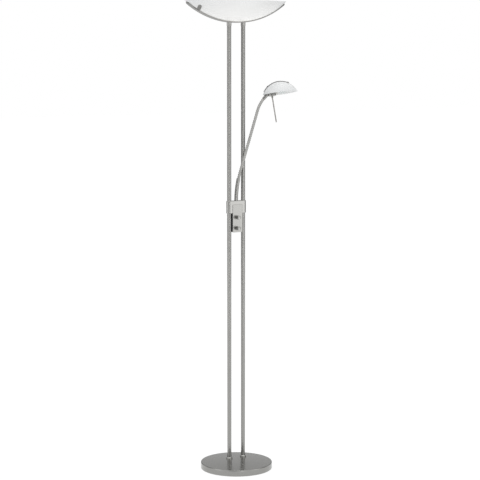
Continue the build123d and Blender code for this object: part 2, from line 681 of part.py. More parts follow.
def keel_bar(plane, radius, depth, inner, thickness, low, high, width, end_width):
    """A bent bar along the keel, with rounded ends, widest in the middle of the boat."""
    centre = -(radius - depth)
    middle = 0.5 * (low + high)
    with BuildPart() as bar:
        with BuildSketch(side_plane(plane)):
            with BuildLine():
                arcs = []
                for arc_radius in (inner, inner + thickness):
                    ends = [(x, sqrt(arc_radius**2 - x**2) + centre) for x in (low - 3, middle, high + 3)]
                    ThreePointArc(*ends)
                    arcs.append(ends)
                Line(arcs[0][0], arcs[1][0])
                Line(arcs[0][2], arcs[1][2])
            make_face()
        extrude(amount=width, both=True)
        with BuildSketch(plane):
            with BuildLine():
                half = width / 2
                end_half = end_width / 2
                Polyline((low + end_half, -end_half), (0, -half), (high - end_half, -end_half))
                ThreePointArc(
                    (high - end_half, -end_half),
                    (high, 0),
                    (high - end_half, end_half),
                )
                Polyline((high - end_half, end_half), (0, half), (low + end_half, end_half))
                ThreePointArc(
                    (low + end_half, end_half),
                    (low, 0),
                    (low + end_half, -end_half),
                )
            make_face()
        extrude(amount=depth + 20, mode=Mode.INTERSECT)
    return bar.part


# Ferrule at the end of the arm: a ball below, and an end that fits the holder's round side.
HOLDER_PLANE = HEAD.offset(-HOLDER_DROP)
FLEX_END = KNUCKLES[-1]
with BuildPart() as head_ferrule:
    with BuildSketch(arm_plane(FLEX_END + KNUCKLE_GAP)):
        Circle(FLEX_VALLEY)
    with BuildSketch(arm_plane(FLEX_END + KNUCKLE_GAP + 1.4)):
        Circle(6.3)
    with BuildSketch(arm_plane(FLEX_END + 12)):
        Circle(6.3)
    with BuildSketch(arm_plane(FLEX_END + 32)):
        Circle(6.3)
    loft(ruled=True)
    with Locations(arm_plane(FLEX_END)):
        Sphere(BALL_RADIUS)
    with BuildSketch(HOLDER_PLANE.offset(-20)):
        with Locations((HOLDER_X, 0)):
            Circle(HOLDER_RADIUS + SLIP)
    extrude(amount=60, mode=Mode.SUBTRACT)
    with BuildSketch(HEAD.offset(HOLDER_HEIGHT - HOLDER_DROP)):
        Rectangle(140, 60)
    extrude(amount=30, mode=Mode.SUBTRACT)
    add(bore_tool(FLEX_END - BALL_RADIUS - 1, FLEX_END + 32, FLEX_BORE, 6), mode=Mode.SUBTRACT)
head_ferrule.part.label = "head_ferrule"
export_step(head_ferrule.part, "parts/head_ferrule.step")

SOCKET_AXIS_HEIGHT = 3.4
SOCKET_PLANE = Plane(origin=HEAD.origin, x_dir=HEAD.y_dir, z_dir=HEAD.x_dir)

# Round holder under the glass: a turned cup with a wire chamber and a port for the ferrule.
with BuildPart() as head_holder:
    with BuildSketch(HOLDER_PLANE):
        with Locations((HOLDER_X, 0)):
            Circle(HOLDER_RADIUS)
    extrude(amount=HOLDER_HEIGHT)
    rims = head_holder.edges().filter_by(GeomType.CIRCLE)
    fillet(rims.sort_by(lambda rim: HEAD.to_local_coords(rim.center()).Z)[0], 2)
    with BuildSketch(HEAD.offset(HOLDER_HEIGHT - HOLDER_DROP)):
        with Locations((HOLDER_X, 0)):
            Circle(HOLDER_RADIUS - 2)
    extrude(amount=-HOLDER_HEIGHT + 3, mode=Mode.SUBTRACT)
    with BuildSketch(HOLDER_PLANE):
        with Locations((HOLDER_X, 0)):
            Circle(2 + SLIP)
    extrude(amount=4, mode=Mode.SUBTRACT)
    add(bore_tool(FLEX_END + 5, FLEX_END + 38, FLEX_BORE + 1, 3), mode=Mode.SUBTRACT)
    with BuildSketch(SOCKET_PLANE.offset(HOLDER_X + 6)):
        with Locations((0, 3.6)):
            Rectangle(13.2, 10)
    extrude(amount=14, mode=Mode.SUBTRACT)
head_holder.part.label = "head_holder"
export_step(head_holder.part, "parts/head_holder.step")

# Ceramic lamp socket, set in the holder's side, facing along the boat.
with BuildPart() as head_socket:
    with BuildSketch(SOCKET_PLANE.offset(HOLDER_X + 6)):
        with Locations((0, SOCKET_AXIS_HEIGHT)):
            Rectangle(13, 9.4)
    extrude(amount=17)
    with BuildSketch(SOCKET_PLANE.offset(HOLDER_X + 23)):
        with Locations((0, SOCKET_AXIS_HEIGHT)):
            with GridLocations(6, 0, 2, 1):
                Circle(1.5)
    extrude(amount=-8, mode=Mode.SUBTRACT)
    long_edges = head_socket.edges().filter_by(lambda edge: edge.length > 10)
    chamfer(long_edges.filter_by(lambda edge: abs(edge.tangent_at(0).dot(HEAD.x_dir)) > 0.99), 1.2)
head_socket.part.label = "head_socket"
export_step(head_socket.part, "parts/head_socket.step")

# Capsule bulb: pinched glass foot with two wire loops, straight body and rounded tip.
BULB_FOOT = HOLDER_X + 23.2
BULB_RADIUS = 6.2
with BuildPart() as head_bulb:
    with BuildSketch(SOCKET_PLANE.offset(BULB_FOOT)):
        with Locations((0, SOCKET_AXIS_HEIGHT)):
            RectangleRounded(9.4, 4.4, 1.2)
    extrude(amount=8)
    pinch = SOCKET_PLANE.offset(BULB_FOOT + 7).origin + HEAD.z_dir * SOCKET_AXIS_HEIGHT
    with BuildSketch(Plane(origin=pinch, x_dir=HEAD.x_dir, z_dir=HEAD.z_dir)):
        with BuildLine():
            Polyline((23, 0), (0, 0), (0, 3.0), (3, BULB_RADIUS), (23 - BULB_RADIUS, BULB_RADIUS))
            RadiusArc((23 - BULB_RADIUS, BULB_RADIUS), (23, 0), BULB_RADIUS)
        make_face()
    revolve(axis=Axis(HEAD.origin + HEAD.z_dir * SOCKET_AXIS_HEIGHT, HEAD.x_dir))
    with BuildSketch(SOCKET_PLANE.offset(BULB_FOOT)):
        with Locations((0, SOCKET_AXIS_HEIGHT)):
            with GridLocations(6, 0, 2, 1):
                Circle(1.1)
    extrude(amount=-7)
head_bulb.part.label = "head_bulb"
export_step(head_bulb.part, "parts/head_bulb.step")


def keel_frame(plane, radius, depth, x):
    """A point on the keel, at this distance from the boat's middle: normal outward."""
    rise = sqrt(radius**2 - x**2)
    point = plane.origin + plane.x_dir * x + plane.z_dir * (rise - radius + depth)
    normal = plane.x_dir * (x / radius) + plane.z_dir * (rise / radius)
    return Plane(origin=point, x_dir=plane.y_dir, z_dir=normal)


# Frosted glass boat, opening downward.
HEAD_SCREW_FRAMES = [keel_frame(HEAD, HEAD_RADIUS, HEAD_DEPTH, x) for x in (-44.0, 33.0)]
with BuildPart() as head_glass:
    add(boat_solid(HEAD, HEAD_RADIUS, HEAD_DEPTH, 0.8))
    add(boat_solid(HEAD, HEAD_RADIUS - HEAD_WALL, HEAD_DEPTH - HEAD_WALL, 0.8), mode=Mode.SUBTRACT)
    for frame in HEAD_SCREW_FRAMES:
        with BuildSketch(frame.offset(-8)):
            Circle(2.3)
        extrude(amount=12, mode=Mode.SUBTRACT)
head_glass.part.label = "head_glass"
export_step(head_glass.part, "parts/head_glass.step")

# Bent metal strip over the crown, with rounded ends.
HEAD_BAR_INNER = HEAD_RADIUS + STRIP_GAP
with BuildPart() as head_strip:
    add(keel_bar(HEAD, HEAD_RADIUS, HEAD_DEPTH, HEAD_BAR_INNER, 2.0, -62.0, 38.0, 13.0, 9.0))
    for frame in HEAD_SCREW_FRAMES:
        with BuildSketch(frame.offset(-3)):
            Circle(1.9)
        extrude(amount=8, mode=Mode.SUBTRACT)
head_strip.part.label = "head_strip"
export_step(head_strip.part, "parts/head_strip.step")

# Steel bracket inside the glass: a bar under the crown and a post down to the holder's rim.
HEAD_INNER = HEAD_RADIUS - HEAD_WALL - 2.1
POST_X = HOLDER_X - 9.5
POST_FOOT = HOLDER_HEIGHT - HOLDER_DROP - 9
POST_TOP = sqrt(HEAD_INNER**2 - (POST_X - 1) ** 2) - HEAD_RADIUS + HEAD_DEPTH + 0.5
with BuildPart() as head_bracket:
    add(keel_bar(HEAD, HEAD_RADIUS, HEAD_DEPTH, HEAD_INNER, 1.2, -50.0, 39.0, 9.0, 8.0))
    with BuildSketch(HEAD.offset(POST_FOOT)):
        with Locations((POST_X, 0)):
            Rectangle(1.6, 8)
    extrude(amount=POST_TOP - POST_FOOT)
    for frame in HEAD_SCREW_FRAMES:
        with BuildSketch(frame.offset(-12)):
            Circle(1.8 + SLIP)
        extrude(amount=12, mode=Mode.SUBTRACT)
head_bracket.part.label = "head_bracket"
export_step(head_bracket.part, "parts/head_bracket.step")

# Dome-headed screws through strip and glass into the bracket.
with BuildPart() as head_screws:
    for frame in HEAD_SCREW_FRAMES:
        with BuildSketch(frame.offset(-8)):
            Circle(1.8)
        extrude(amount=11)
        with BuildSketch(frame.offset(STRIP_GAP + 2.05)):
            Circle(3.4)
        extrude(amount=1.7, taper=28)
head_screws.part.label = "head_screws"
export_step(head_screws.part, "parts/head_screws.step")

# Glass aiming rod under the holder, in a small metal ferrule.
ROD_AXIS = (-HEAD.z_dir * cos(radians(ROD_LEAN)) + HEAD.x_dir * sin(radians(ROD_LEAN)))
ROD_TOP = HEAD.origin + HEAD.x_dir * HOLDER_X - HEAD.z_dir * (HOLDER_DROP + 0.05)
ROD_PLANE = Plane(origin=ROD_TOP, x_dir=HEAD.y_dir, z_dir=ROD_AXIS)
with BuildPart() as rod_ferrule:
    with BuildSketch(Plane(origin=ROD_TOP, x_dir=HEAD.y_dir, z_dir=-HEAD.z_dir)):
        Circle(4.4)
    extrude(amount=2.2, taper=8)
    with BuildSketch(ROD_PLANE.offset(1.5)):
        Circle(3.7)
    extrude(amount=5)
    with BuildSketch(ROD_PLANE.offset(1.2)):
        Circle(ROD_RADIUS + SLIP)
    extrude(amount=10, mode=Mode.SUBTRACT)
    with BuildSketch(Plane(origin=ROD_TOP, x_dir=HEAD.y_dir, z_dir=HEAD.z_dir)):
        Circle(2)
    extrude(amount=5)
rod_ferrule.part.label = "rod_ferrule"
export_step(rod_ferrule.part, "parts/rod_ferrule.step")

# Clear glass rod with a rounded tip, cemented into the ferrule.
with BuildPart() as glass_rod:
    with BuildSketch(ROD_PLANE.offset(1.4)):
        Circle(ROD_RADIUS)
    extrude(amount=ROD_LENGTH)
    fillet(glass_rod.edges().sort_by(Axis.Z)[0], 1.4)
glass_rod.part.label = "glass_rod"
export_step(glass_rod.part, "parts/glass_rod.step")


# ---------------------------------------------------------------- shade

SHADE = Plane(origin=(POLE_X, POLE_Y, RIM_HEIGHT), x_dir=(1, 0, 0), z_dir=(0, 0, -1))
POLE_REACH = [(-POLE_SPACING / 2, 0), (POLE_SPACING / 2, 0)]
STRIP_INNER = SHADE_RADIUS + STRIP_GAP

# Bent strip under the keel: the poles' nipples pass through it.
with BuildPart() as shade_strip:
    add(
        keel_bar(
            SHADE,
            SHADE_RADIUS,
            SHADE_DEPTH,
            STRIP_INNER,
            STRIP_THICKNESS,
            -STRIP_HALF,
            STRIP_HALF,
            STRIP_WIDTH,
            STRIP_END_WIDTH,
        )
    )
    with BuildSketch(SHADE):
        with Locations(*POLE_REACH):
            Circle(THREAD_RADIUS + 0.1)
    extrude(amount=SHADE_DEPTH + 20, mode=Mode.SUBTRACT)
shade_strip.part.label = "shade_strip"
export_step(shade_strip.part, "parts/shade_strip.step")

# Collars that close the top of the poles, hollowed to fit the strip's curve.
with BuildPart() as top_collars:
    with BuildSketch(Plane.XY.offset(TOP_COLLAR_FOOT)):
        with Locations(*POLE_PLACES):
            Circle(TOP_COLLAR_RADIUS)
    extrude(amount=20)
    with BuildSketch(Plane.XY.offset(TOP_COLLAR_FOOT)):
        with Locations(*POLE_PLACES):
            Circle(POLE_RADIUS + SLIP)
    extrude(amount=POLE_TOP - TOP_COLLAR_FOOT, mode=Mode.SUBTRACT)
    with BuildSketch(Plane.XY.offset(TOP_COLLAR_FOOT)):
        with Locations(*POLE_PLACES):
            Circle(THREAD_RADIUS + 0.1)
    extrude(amount=20, mode=Mode.SUBTRACT)
    with BuildSketch(side_plane(SHADE)):
        with Locations((0, SHADE_DEPTH - SHADE_RADIUS)):
            Circle(STRIP_INNER + STRIP_THICKNESS)
    extrude(amount=20, both=True, mode=Mode.SUBTRACT)
top_collars.part.label = "top_collars"
export_step(top_collars.part, "parts/top_collars.step")


def lug_frame(way):
    """Where a lug's screw goes through the glass: normal outward, X down the glass to the keel."""
    angle = radians(LUG_ANGLE)
    reach = boat_side(SHADE_RADIUS, SHADE_DEPTH, LUG_X)
    spread = way * sin(angle)
    point = SHADE.origin - SHADE.x_dir * (way * LUG_X)
    point += SHADE.y_dir * (reach * spread) + SHADE.z_dir * (reach * cos(angle))
    share = (reach + SHADE_RADIUS - SHADE_DEPTH) / SHADE_RADIUS
    normal = SHADE.x_dir * (-way * LUG_X / SHADE_RADIUS)
    normal += SHADE.y_dir * (share * spread) + SHADE.z_dir * (share * cos(angle))
    down = SHADE.z_dir * sin(angle) - SHADE.y_dir * (way * cos(angle))
    return Plane(origin=point, x_dir=down, z_dir=normal)


def shade_boat(growth, tip):
    """The shade's own boat as a solid, grown all round, or shrunk where growth is below zero."""
    return boat_solid(SHADE, SHADE_RADIUS + growth, SHADE_DEPTH + growth, tip)


LUG_FRAMES = [lug_frame(1), lug_frame(-1)]
LUG_GAP = 0.3
INSIDE_GLASS = -SHADE_WALL - 0.05

# Sheet lugs that rise from the strip over the glass, one on each side, each at one end.
with BuildPart() as shade_lugs:
    for frame in LUG_FRAMES:
        with BuildSketch(frame.offset(-14)):
            with Locations((16, 0)):
                SlotOverall(32 + 2 * LUG_RADIUS, 2 * LUG_RADIUS)
        extrude(amount=30)
    add(shade_boat(LUG_GAP + LUG_THICKNESS, 1), mode=Mode.INTERSECT)
    add(shade_boat(LUG_GAP, 1), mode=Mode.SUBTRACT)
    with BuildSketch(SHADE):
        Rectangle(2 * STRIP_HALF, STRIP_END_WIDTH + 2.4)
    extrude(amount=SHADE_DEPTH + 20, mode=Mode.SUBTRACT)
    for frame in LUG_FRAMES:
        with BuildSketch(frame.offset(-14)):
            Circle(2.6)
        extrude(amount=30, mode=Mode.SUBTRACT)
shade_lugs.part.label = "shade_lugs"
export_step(shade_lugs.part, "parts/shade_lugs.step")

# Frosted glass boat with two bottom holes for the nipples and two side holes for the lugs.
with BuildPart() as shade_glass:
    add(shade_boat(0, 1.2))
    add(shade_boat(-SHADE_WALL, 1.2), mode=Mode.SUBTRACT)
    with BuildSketch(SHADE):
        with Locations(*POLE_REACH):
            Circle(6.5)
    extrude(amount=SHADE_DEPTH + 5, mode=Mode.SUBTRACT)
    for frame in LUG_FRAMES:
        with BuildSketch(frame.offset(-10)):
            Circle(3.2)
        extrude(amount=16, mode=Mode.SUBTRACT)
shade_glass.part.label = "shade_glass"
export_step(shade_glass.part, "parts/shade_glass.step")

# Rubber washers between the glass and the lamp frame, moulded to the glass.
with BuildPart() as shade_seals:
    with BuildSketch(SHADE.offset(RIM_HEIGHT - FRAME_FOOT)):
        with Locations(*POLE_REACH):
            Circle(9.5)
            Circle(THREAD_RADIUS + 0.1, mode=Mode.SUBTRACT)
    extrude(amount=10)
    add(shade_boat(INSIDE_GLASS, 1.2), mode=Mode.INTERSECT)
shade_seals.part.label = "shade_seals"
export_step(shade_seals.part, "parts/shade_seals.step")

# Capped screws through lug and glass, with round nuts inside the bowl.
with BuildPart() as lug_screws:
    for frame in LUG_FRAMES:
        with BuildSketch(frame.offset(0.4 + LUG_THICKNESS)):
            Circle(6.5)
        extrude(amount=2.6, taper=20)
        with BuildSketch(frame.offset(-9)):
            Circle(2.4)
        extrude(amount=9.4 + LUG_THICKNESS)
lug_screws.part.label = "lug_screws"
export_step(lug_screws.part, "parts/lug_screws.step")

with BuildPart() as lug_nuts:
    for frame in LUG_FRAMES:
        with BuildSketch(frame.offset(-8.6)):
            Circle(6)
            Circle(2.4 + SLIP, mode=Mode.SUBTRACT)
        extrude(amount=3.6)
    add(shade_boat(INSIDE_GLASS, 1.2), mode=Mode.INTERSECT)
lug_nuts.part.label = "lug_nuts"
export_step(lug_nuts.part, "parts/lug_nuts.step")

# Folded steel frame on the nipples: it carries the two lamp holders.
FRAME_SIDE = Plane(origin=(POLE_X, POLE_Y, FRAME_FOOT), x_dir=(1, 0, 0), z_dir=(0, -1, 0))
FRAME_END = HOLDER_SPAN + 14
FRAME_STEP = 7.0
with BuildPart() as lamp_frame:
    with BuildSketch(FRAME_SIDE):
        with BuildLine():
            frame_line = Polyline(
                (-FRAME_END, 26),
                (-FRAME_END, FRAME_STEP),
                (-51, FRAME_STEP),
                (-43, 0.8),
                (43, 0.8),
                (51, FRAME_STEP),
                (FRAME_END, FRAME_STEP),
                (FRAME_END, 26),
            )
            offset(frame_line, FRAME_SHEET / 2, kind=Kind.INTERSECTION)
        make_face()
    extrude(amount=10, both=True)
    with BuildSketch(Plane.XY.offset(FRAME_FOOT)):
        with Locations(*POLE_PLACES):
            Circle(THREAD_RADIUS + 0.1)
    extrude(amount=FRAME_SHEET, mode=Mode.SUBTRACT)
lamp_frame.part.label = "lamp_frame"
export_step(lamp_frame.part, "parts/lamp_frame.step")

# Ceramic lamp holders, each with a round pocket for the end of the lamp.
with BuildPart() as lamp_holders:
    for way in (-1, 1):
        lamp_end = (POLE_X + way * HOLDER_SPAN, POLE_Y, LAMP_HEIGHT)
        HOLDER_END = Plane(origin=lamp_end, x_dir=(0, way, 0), z_dir=(way, 0, 0))
        with BuildSketch(HOLDER_END):
            RectangleRounded(17, 21, 3)
        extrude(amount=14 - FRAME_SHEET / 2)
        with BuildSketch(HOLDER_END):
            Circle(4.3)
        extrude(amount=4.5, mode=Mode.SUBTRACT)
lamp_holders.part.label = "lamp_holders"
export_step(lamp_holders.part, "parts/lamp_holders.step")

# Linear halogen lamp: quartz tube with pinched ends and ceramic caps.
with BuildPart() as halogen_tube:
    with BuildSketch(Plane(origin=(POLE_X, POLE_Y, LAMP_HEIGHT), x_dir=(1, 0, 0), z_dir=(0, -1, 0))):
        with BuildLine():
            Polyline(
                (-62, 0),
                (-62, 3.9),
                (-52, 3.9),
                (-52, 2.6),
                (-48, 5),
                (48, 5),
                (52, 2.6),
                (52, 3.9),
                (62, 3.9),
                (62, 0),
                close=True,
            )
        make_face()
    revolve(axis=Axis((POLE_X, POLE_Y, LAMP_HEIGHT), (1, 0, 0)))
halogen_tube.part.label = "halogen_tube"
export_step(halogen_tube.part, "parts/halogen_tube.step")

# Bright trough under the lamp, on two feet.
TROUGH_RADIUS = 14.0
with BuildPart() as reflector:
    with BuildSketch(Plane(origin=(POLE_X - 50, POLE_Y, LAMP_HEIGHT), x_dir=(0, 1, 0), z_dir=(1, 0, 0))):
        Circle(TROUGH_RADIUS + 0.8)
        Circle(TROUGH_RADIUS, mode=Mode.SUBTRACT)
        with Locations((0, 15)):
            Rectangle(40, 36, mode=Mode.SUBTRACT)
    extrude(amount=100)
    with BuildSketch(Plane.XY.offset(FRAME_FOOT + FRAME_SHEET)):
        with Locations((POLE_X - 14, POLE_Y), (POLE_X + 14, POLE_Y)):
            Rectangle(6, 10)
    extrude(amount=LAMP_HEIGHT - TROUGH_RADIUS - FRAME_FOOT - FRAME_SHEET - 0.2)
reflector.part.label = "reflector"
export_step(reflector.part, "parts/reflector.step")
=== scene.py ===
from math import cos, pi, radians, sin, sqrt

import bmesh
import bpy
from mathutils import Matrix, Vector


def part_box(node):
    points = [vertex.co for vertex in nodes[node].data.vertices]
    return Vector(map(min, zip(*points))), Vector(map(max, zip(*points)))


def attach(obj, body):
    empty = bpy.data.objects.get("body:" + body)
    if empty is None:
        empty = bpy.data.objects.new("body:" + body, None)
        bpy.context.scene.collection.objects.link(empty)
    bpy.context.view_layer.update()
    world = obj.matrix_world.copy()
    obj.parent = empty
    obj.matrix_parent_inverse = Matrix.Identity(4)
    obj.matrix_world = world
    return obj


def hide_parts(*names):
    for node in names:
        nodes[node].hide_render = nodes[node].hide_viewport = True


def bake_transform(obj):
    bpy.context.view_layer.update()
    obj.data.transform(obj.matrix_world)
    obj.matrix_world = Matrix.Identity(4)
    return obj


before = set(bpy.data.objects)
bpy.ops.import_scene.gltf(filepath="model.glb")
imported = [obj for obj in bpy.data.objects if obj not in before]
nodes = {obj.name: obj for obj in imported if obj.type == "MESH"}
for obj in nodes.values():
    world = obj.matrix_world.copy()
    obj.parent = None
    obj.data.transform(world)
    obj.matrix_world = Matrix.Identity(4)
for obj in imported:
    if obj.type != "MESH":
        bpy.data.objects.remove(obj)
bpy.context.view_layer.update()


# ---------------------------------------------------------------- studio
# The lamp stands on a plain white floor in a white studio, seen from its left front, 5.8 m away
# and at the height of a person's eyes. Soft boxes light it from both sides, the front and above.

EYE_HEIGHT = 1.604
EYE_DISTANCE = 5.83
EYE_TURN = radians(-31.07)
EYE_TILT = radians(-6.44)
VIEW = Vector((0.515, 0.857, 0.0)).normalized()
ACROSS = Vector((VIEW.y, -VIEW.x, 0.0))
UP = Vector((0, 0, 1))

camera_data = bpy.data.cameras.new("camera")
camera_data.lens = 115.11
camera_data.shift_x = 0.0038
camera_data.shift_y = -0.03
camera = bpy.data.objects.new("camera", camera_data)
camera.location = -VIEW * EYE_DISTANCE + Vector((0, 0, EYE_HEIGHT))
camera.rotation_euler = (pi / 2 + EYE_TILT, 0, EYE_TURN)
bpy.context.scene.collection.objects.link(camera)
bpy.context.scene.camera = camera
bpy.context.scene.view_settings.view_transform = "Standard"


class Maths:
    """A socket in a node tree: arithmetic on it adds nodes, and node() adds any other kind."""

    def __init__(self, tree, socket=None):
        self.tree = tree
        self.socket = socket

    def node(self, kind, values=None, settings=None, out=0):
        made = self.tree.nodes.new(kind)
        for name, value in (settings or {}).items():
            if name == "stops":
                ramp = made.color_ramp.elements
                while len(ramp) < len(value):
                    ramp.new(0.5)
                for element, (place, colour) in zip(ramp, value):
                    element.position = place
                    element.color = (*colour, 1.0)
            else:
                setattr(made, name, value)
        for name, value in (values or {}).items():
            if isinstance(value, Maths):
                self.tree.links.new(value.socket, made.inputs[name])
            else:
                made.inputs[name].default_value = value
        return Maths(self.tree, made.outputs[out]) if len(made.outputs) else made

    def maths(self, operation, *values):
        return self.node("ShaderNodeMath", dict(enumerate(values)), {"operation": operation})

    def vector(self, operation, *values, out=0):
        return self.node("ShaderNodeVectorMath", dict(enumerate(values)), {"operation": operation}, out)

    def blend(self, low, high):
        """The colour low where this mask is 0, and high where it is 1."""
        colours = {"Factor": self, 6: low, 7: high}
        return self.node("ShaderNodeMix", colours, {"data_type": "RGBA"}, out=2)

    def __add__(self, other):
        return self.maths("ADD", self, other)

    def __sub__(self, other):
        return self.maths("SUBTRACT", self, other)

    def __rsub__(self, other):
        return self.maths("SUBTRACT", other, self)

    def __mul__(self, other):
        return self.maths("MULTIPLY", self, other)

    def __truediv__(self, other):
        return self.maths("DIVIDE", self, other)

    def __pow__(self, other):
        return self.maths("POWER", self, other)

    __radd__ = __add__


def soft_box(name, azimuth, distance, height, width, tall, strength):
    """An upright lamp round the object, azimuth in degrees to the right of the camera."""
    turn = radians(azimuth)
    place = (-VIEW * cos(turn) + ACROSS * sin(turn)) * distance
    light = bpy.data.lights.new(name, "AREA")
    light.shape = "RECTANGLE"
    light.size = width
    light.size_y = tall
    light.energy = strength * width * tall
    lamp = bpy.data.objects.new(name, light)
    lamp.location = place + Vector((0, 0, height))
    lamp.rotation_euler = Vector((-place.x, -place.y, 0)).to_track_quat("-Z", "Y").to_euler()
    bpy.context.scene.collection.objects.link(lamp)
    return lamp


soft_box("left_box", -62, 3.2, 1.3, 1.5, 2.4, 3.0)
soft_box("right_box", 64, 3.2, 1.3, 1.2, 2.4, 2.6)
top_box = soft_box("top_box", 0, 0.4, 4.0, 2.4, 2.4, 3.0)
top_box.rotation_euler = (0, 0, 0)
soft_box("slit_box", 17, 3.4, 0.9, 0.28, 2.2, 9.0)

world = bpy.data.worlds.new("studio")
bpy.context.scene.world = world
world.use_nodes = True
world.node_tree.nodes.clear()
sky = Maths(world.node_tree)
seen = sky.node("ShaderNodeLightPath", out="Is Camera Ray")
for ray in ("Is Glossy Ray", "Is Transmission Ray"):
    seen = seen.maths("MAXIMUM", seen, sky.node("ShaderNodeLightPath", out=ray))
white = sky.node("ShaderNodeBackground", {"Color": (1, 1, 1, 1), "Strength": 1.0})
walls = sky.node("ShaderNodeBackground", {"Color": (0.98, 0.99, 1.0, 1), "Strength": 0.52})
lit = sky.node("ShaderNodeMixShader", {0: seen, 1: walls, 2: white})
sky.node("ShaderNodeOutputWorld", {"Surface": lit})


def material(name):
    """A material with an empty tree, and the tree's maths."""
    made = bpy.data.materials.new(name)
    made.use_nodes = True
    made.node_tree.nodes.clear()
    return made, Maths(made.node_tree)


def surface(maths, values, **constants):
    """Ends a tree in a Principled shader."""
    shader = maths.node("ShaderNodeBsdfPrincipled", values)
    for name, value in constants.items():
        shader.socket.node.inputs[name.replace("_", " ")].default_value = value
    maths.node("ShaderNodeOutputMaterial", {"Surface": shader})


def screen(name, azimuth, width, grey=0.16, tall=4.6, distance=5.0):
    """An upright grey screen round the object, which shows only in its metal and its gloss."""
    screen_grey, paint = material(name)
    cloth = paint.node("ShaderNodeEmission", {"Color": (1, 1, 1, 1), "Strength": grey})
    paint.node("ShaderNodeOutputMaterial", {"Surface": cloth})
    turn = radians(azimuth)
    middle = (-VIEW * cos(turn) + ACROSS * sin(turn)) * distance
    across = Vector((-middle.y, middle.x, 0)).normalized() * (width / 2)
    foot = [middle - across, middle + across]
    corners = foot + [point + UP * tall for point in reversed(foot)]
    mesh = bpy.data.meshes.new(name)
    mesh.from_pydata([tuple(corner) for corner in corners], [], [(0, 1, 2, 3)])
    mesh.materials.append(screen_grey)
    card = bpy.data.objects.new(name, mesh)
    bpy.context.scene.collection.objects.link(card)
    for ray in ("camera", "diffuse", "transmission", "volume_scatter", "shadow"):
        setattr(card, f"visible_{ray}", False)


# The metal mirrors these screens as dark edges, and the base's flat top mirrors the one behind.
screen("front_screen", -9, 2.7)
screen("left_screen", -100, 2.6)
screen("right_screen", 101, 2.6)
screen("left_back_screen", -152, 3.2)
screen("right_back_screen", 152, 3.2)
screen("back_screen", 180, 2.2, 0.62)

# The floor shows as the white of the studio, with the lamp's soft shadow on it.
floor_white, paint = material("floor_white")
shadowed = paint.node("ShaderNodeBsdfDiffuse", {"Color": (0.93, 0.93, 0.93, 1)})
glow = paint.node("ShaderNodeEmission", {"Color": (1, 1, 1, 1), "Strength": 1.3})
seen = paint.node("ShaderNodeLightPath", out="Is Camera Ray")
for ray in ("Is Glossy Ray", "Is Transmission Ray"):
    seen = seen.maths("MAXIMUM", seen, paint.node("ShaderNodeLightPath", out=ray))
shown = paint.node("ShaderNodeMixShader", {0: seen * 0.65, 1: shadowed, 2: glow})
paint.node("ShaderNodeOutputMaterial", {"Surface": shown})
floor_mesh = bpy.data.meshes.new("floor")
FLOOR_REACH = 30.0
floor_corners = [(FLOOR_REACH * x, FLOOR_REACH * y, -0.0003) for x, y in ((-1, -1), (1, -1), (1, 1), (-1, 1))]
floor_mesh.from_pydata(floor_corners, [], [(0, 1, 2, 3)])
floor_mesh.materials.append(floor_white)
floor = bpy.data.objects.new("floor", floor_mesh)
bpy.context.scene.collection.objects.link(floor)


# ---------------------------------------------------------------- base
# A pressed steel cover with a rolled edge, nickel plated and brushed in rings on a turntable,
# over a cast iron weight. Felt is glued below, and the gland at the back is moulded plastic.

def satin_nickel(name, grain, tone=0.5, rough=0.34):
    """Brushed and plated: fine streaks that run along X, Y or Z, or in rings round an axis."""
    made, paint = material(name)
    place = paint.node("ShaderNodeTexCoord", out="Object")
    if grain == "rings":
        flat = place.vector("MULTIPLY", place, (1, 1, 0))
        reach = flat.vector("LENGTH", flat, out="Value")
        height = paint.node("ShaderNodeSeparateXYZ", {0: place}, out="Z")
        place = paint.node("ShaderNodeCombineXYZ", {"X": reach, "Z": height})
        stretch = (2600, 1, 2600)
    else:
        stretch = [9 if axis == grain else 2600 for axis in "XYZ"]
    streaks = place.vector("MULTIPLY", place, stretch)
    brushing = {"Vector": streaks, "Scale": 1.0, "Detail": 3.0, "Roughness": 0.6}
    fine = paint.node("ShaderNodeTexNoise", brushing)
    cloud = paint.node("ShaderNodeTexNoise", {"Vector": place, "Scale": 14.0, "Detail": 2.0})
    level = 0.88 + fine * 0.12 + (cloud - 0.5) * 0.10
    grey = (tone, tone * 0.993, tone * 0.955, 1)
    tinted = {"Factor": 1.0, 6: grey, 7: level}
    colour = paint.node("ShaderNodeMix", tinted, {"data_type": "RGBA", "blend_type": "MULTIPLY"}, out=2)
    bump = paint.node("ShaderNodeBump", {"Height": fine, "Strength": 0.04, "Distance": 0.0002})
    look = {"Base Color": colour, "Roughness": rough - 0.06 + fine * 0.14, "Normal": bump}
    surface(paint, look, Metallic=1.0)
    return made


def dress(names, *finishes):
    """Gives CAD nodes their finish."""
    for name in names:
        mesh = nodes[name].data
        mesh.materials.clear()
        for finish in finishes:
            mesh.materials.append(finish)


def keep(name, mesh, finish, body, replaced=(), edge=32):
    """Makes an object of a finished mesh: smooth, sharp at its edges, riding on a body."""
    for polygon in mesh.polygons:
        polygon.use_smooth = True
    mesh.set_sharp_from_angle(angle=radians(edge))
    mesh.materials.clear()
    mesh.materials.append(finish)
    piece = bpy.data.objects.new(name, mesh)
    bpy.context.scene.collection.objects.link(piece)
    if body:
        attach(piece, body)
    if replaced:
        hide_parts(*replaced)
    return piece


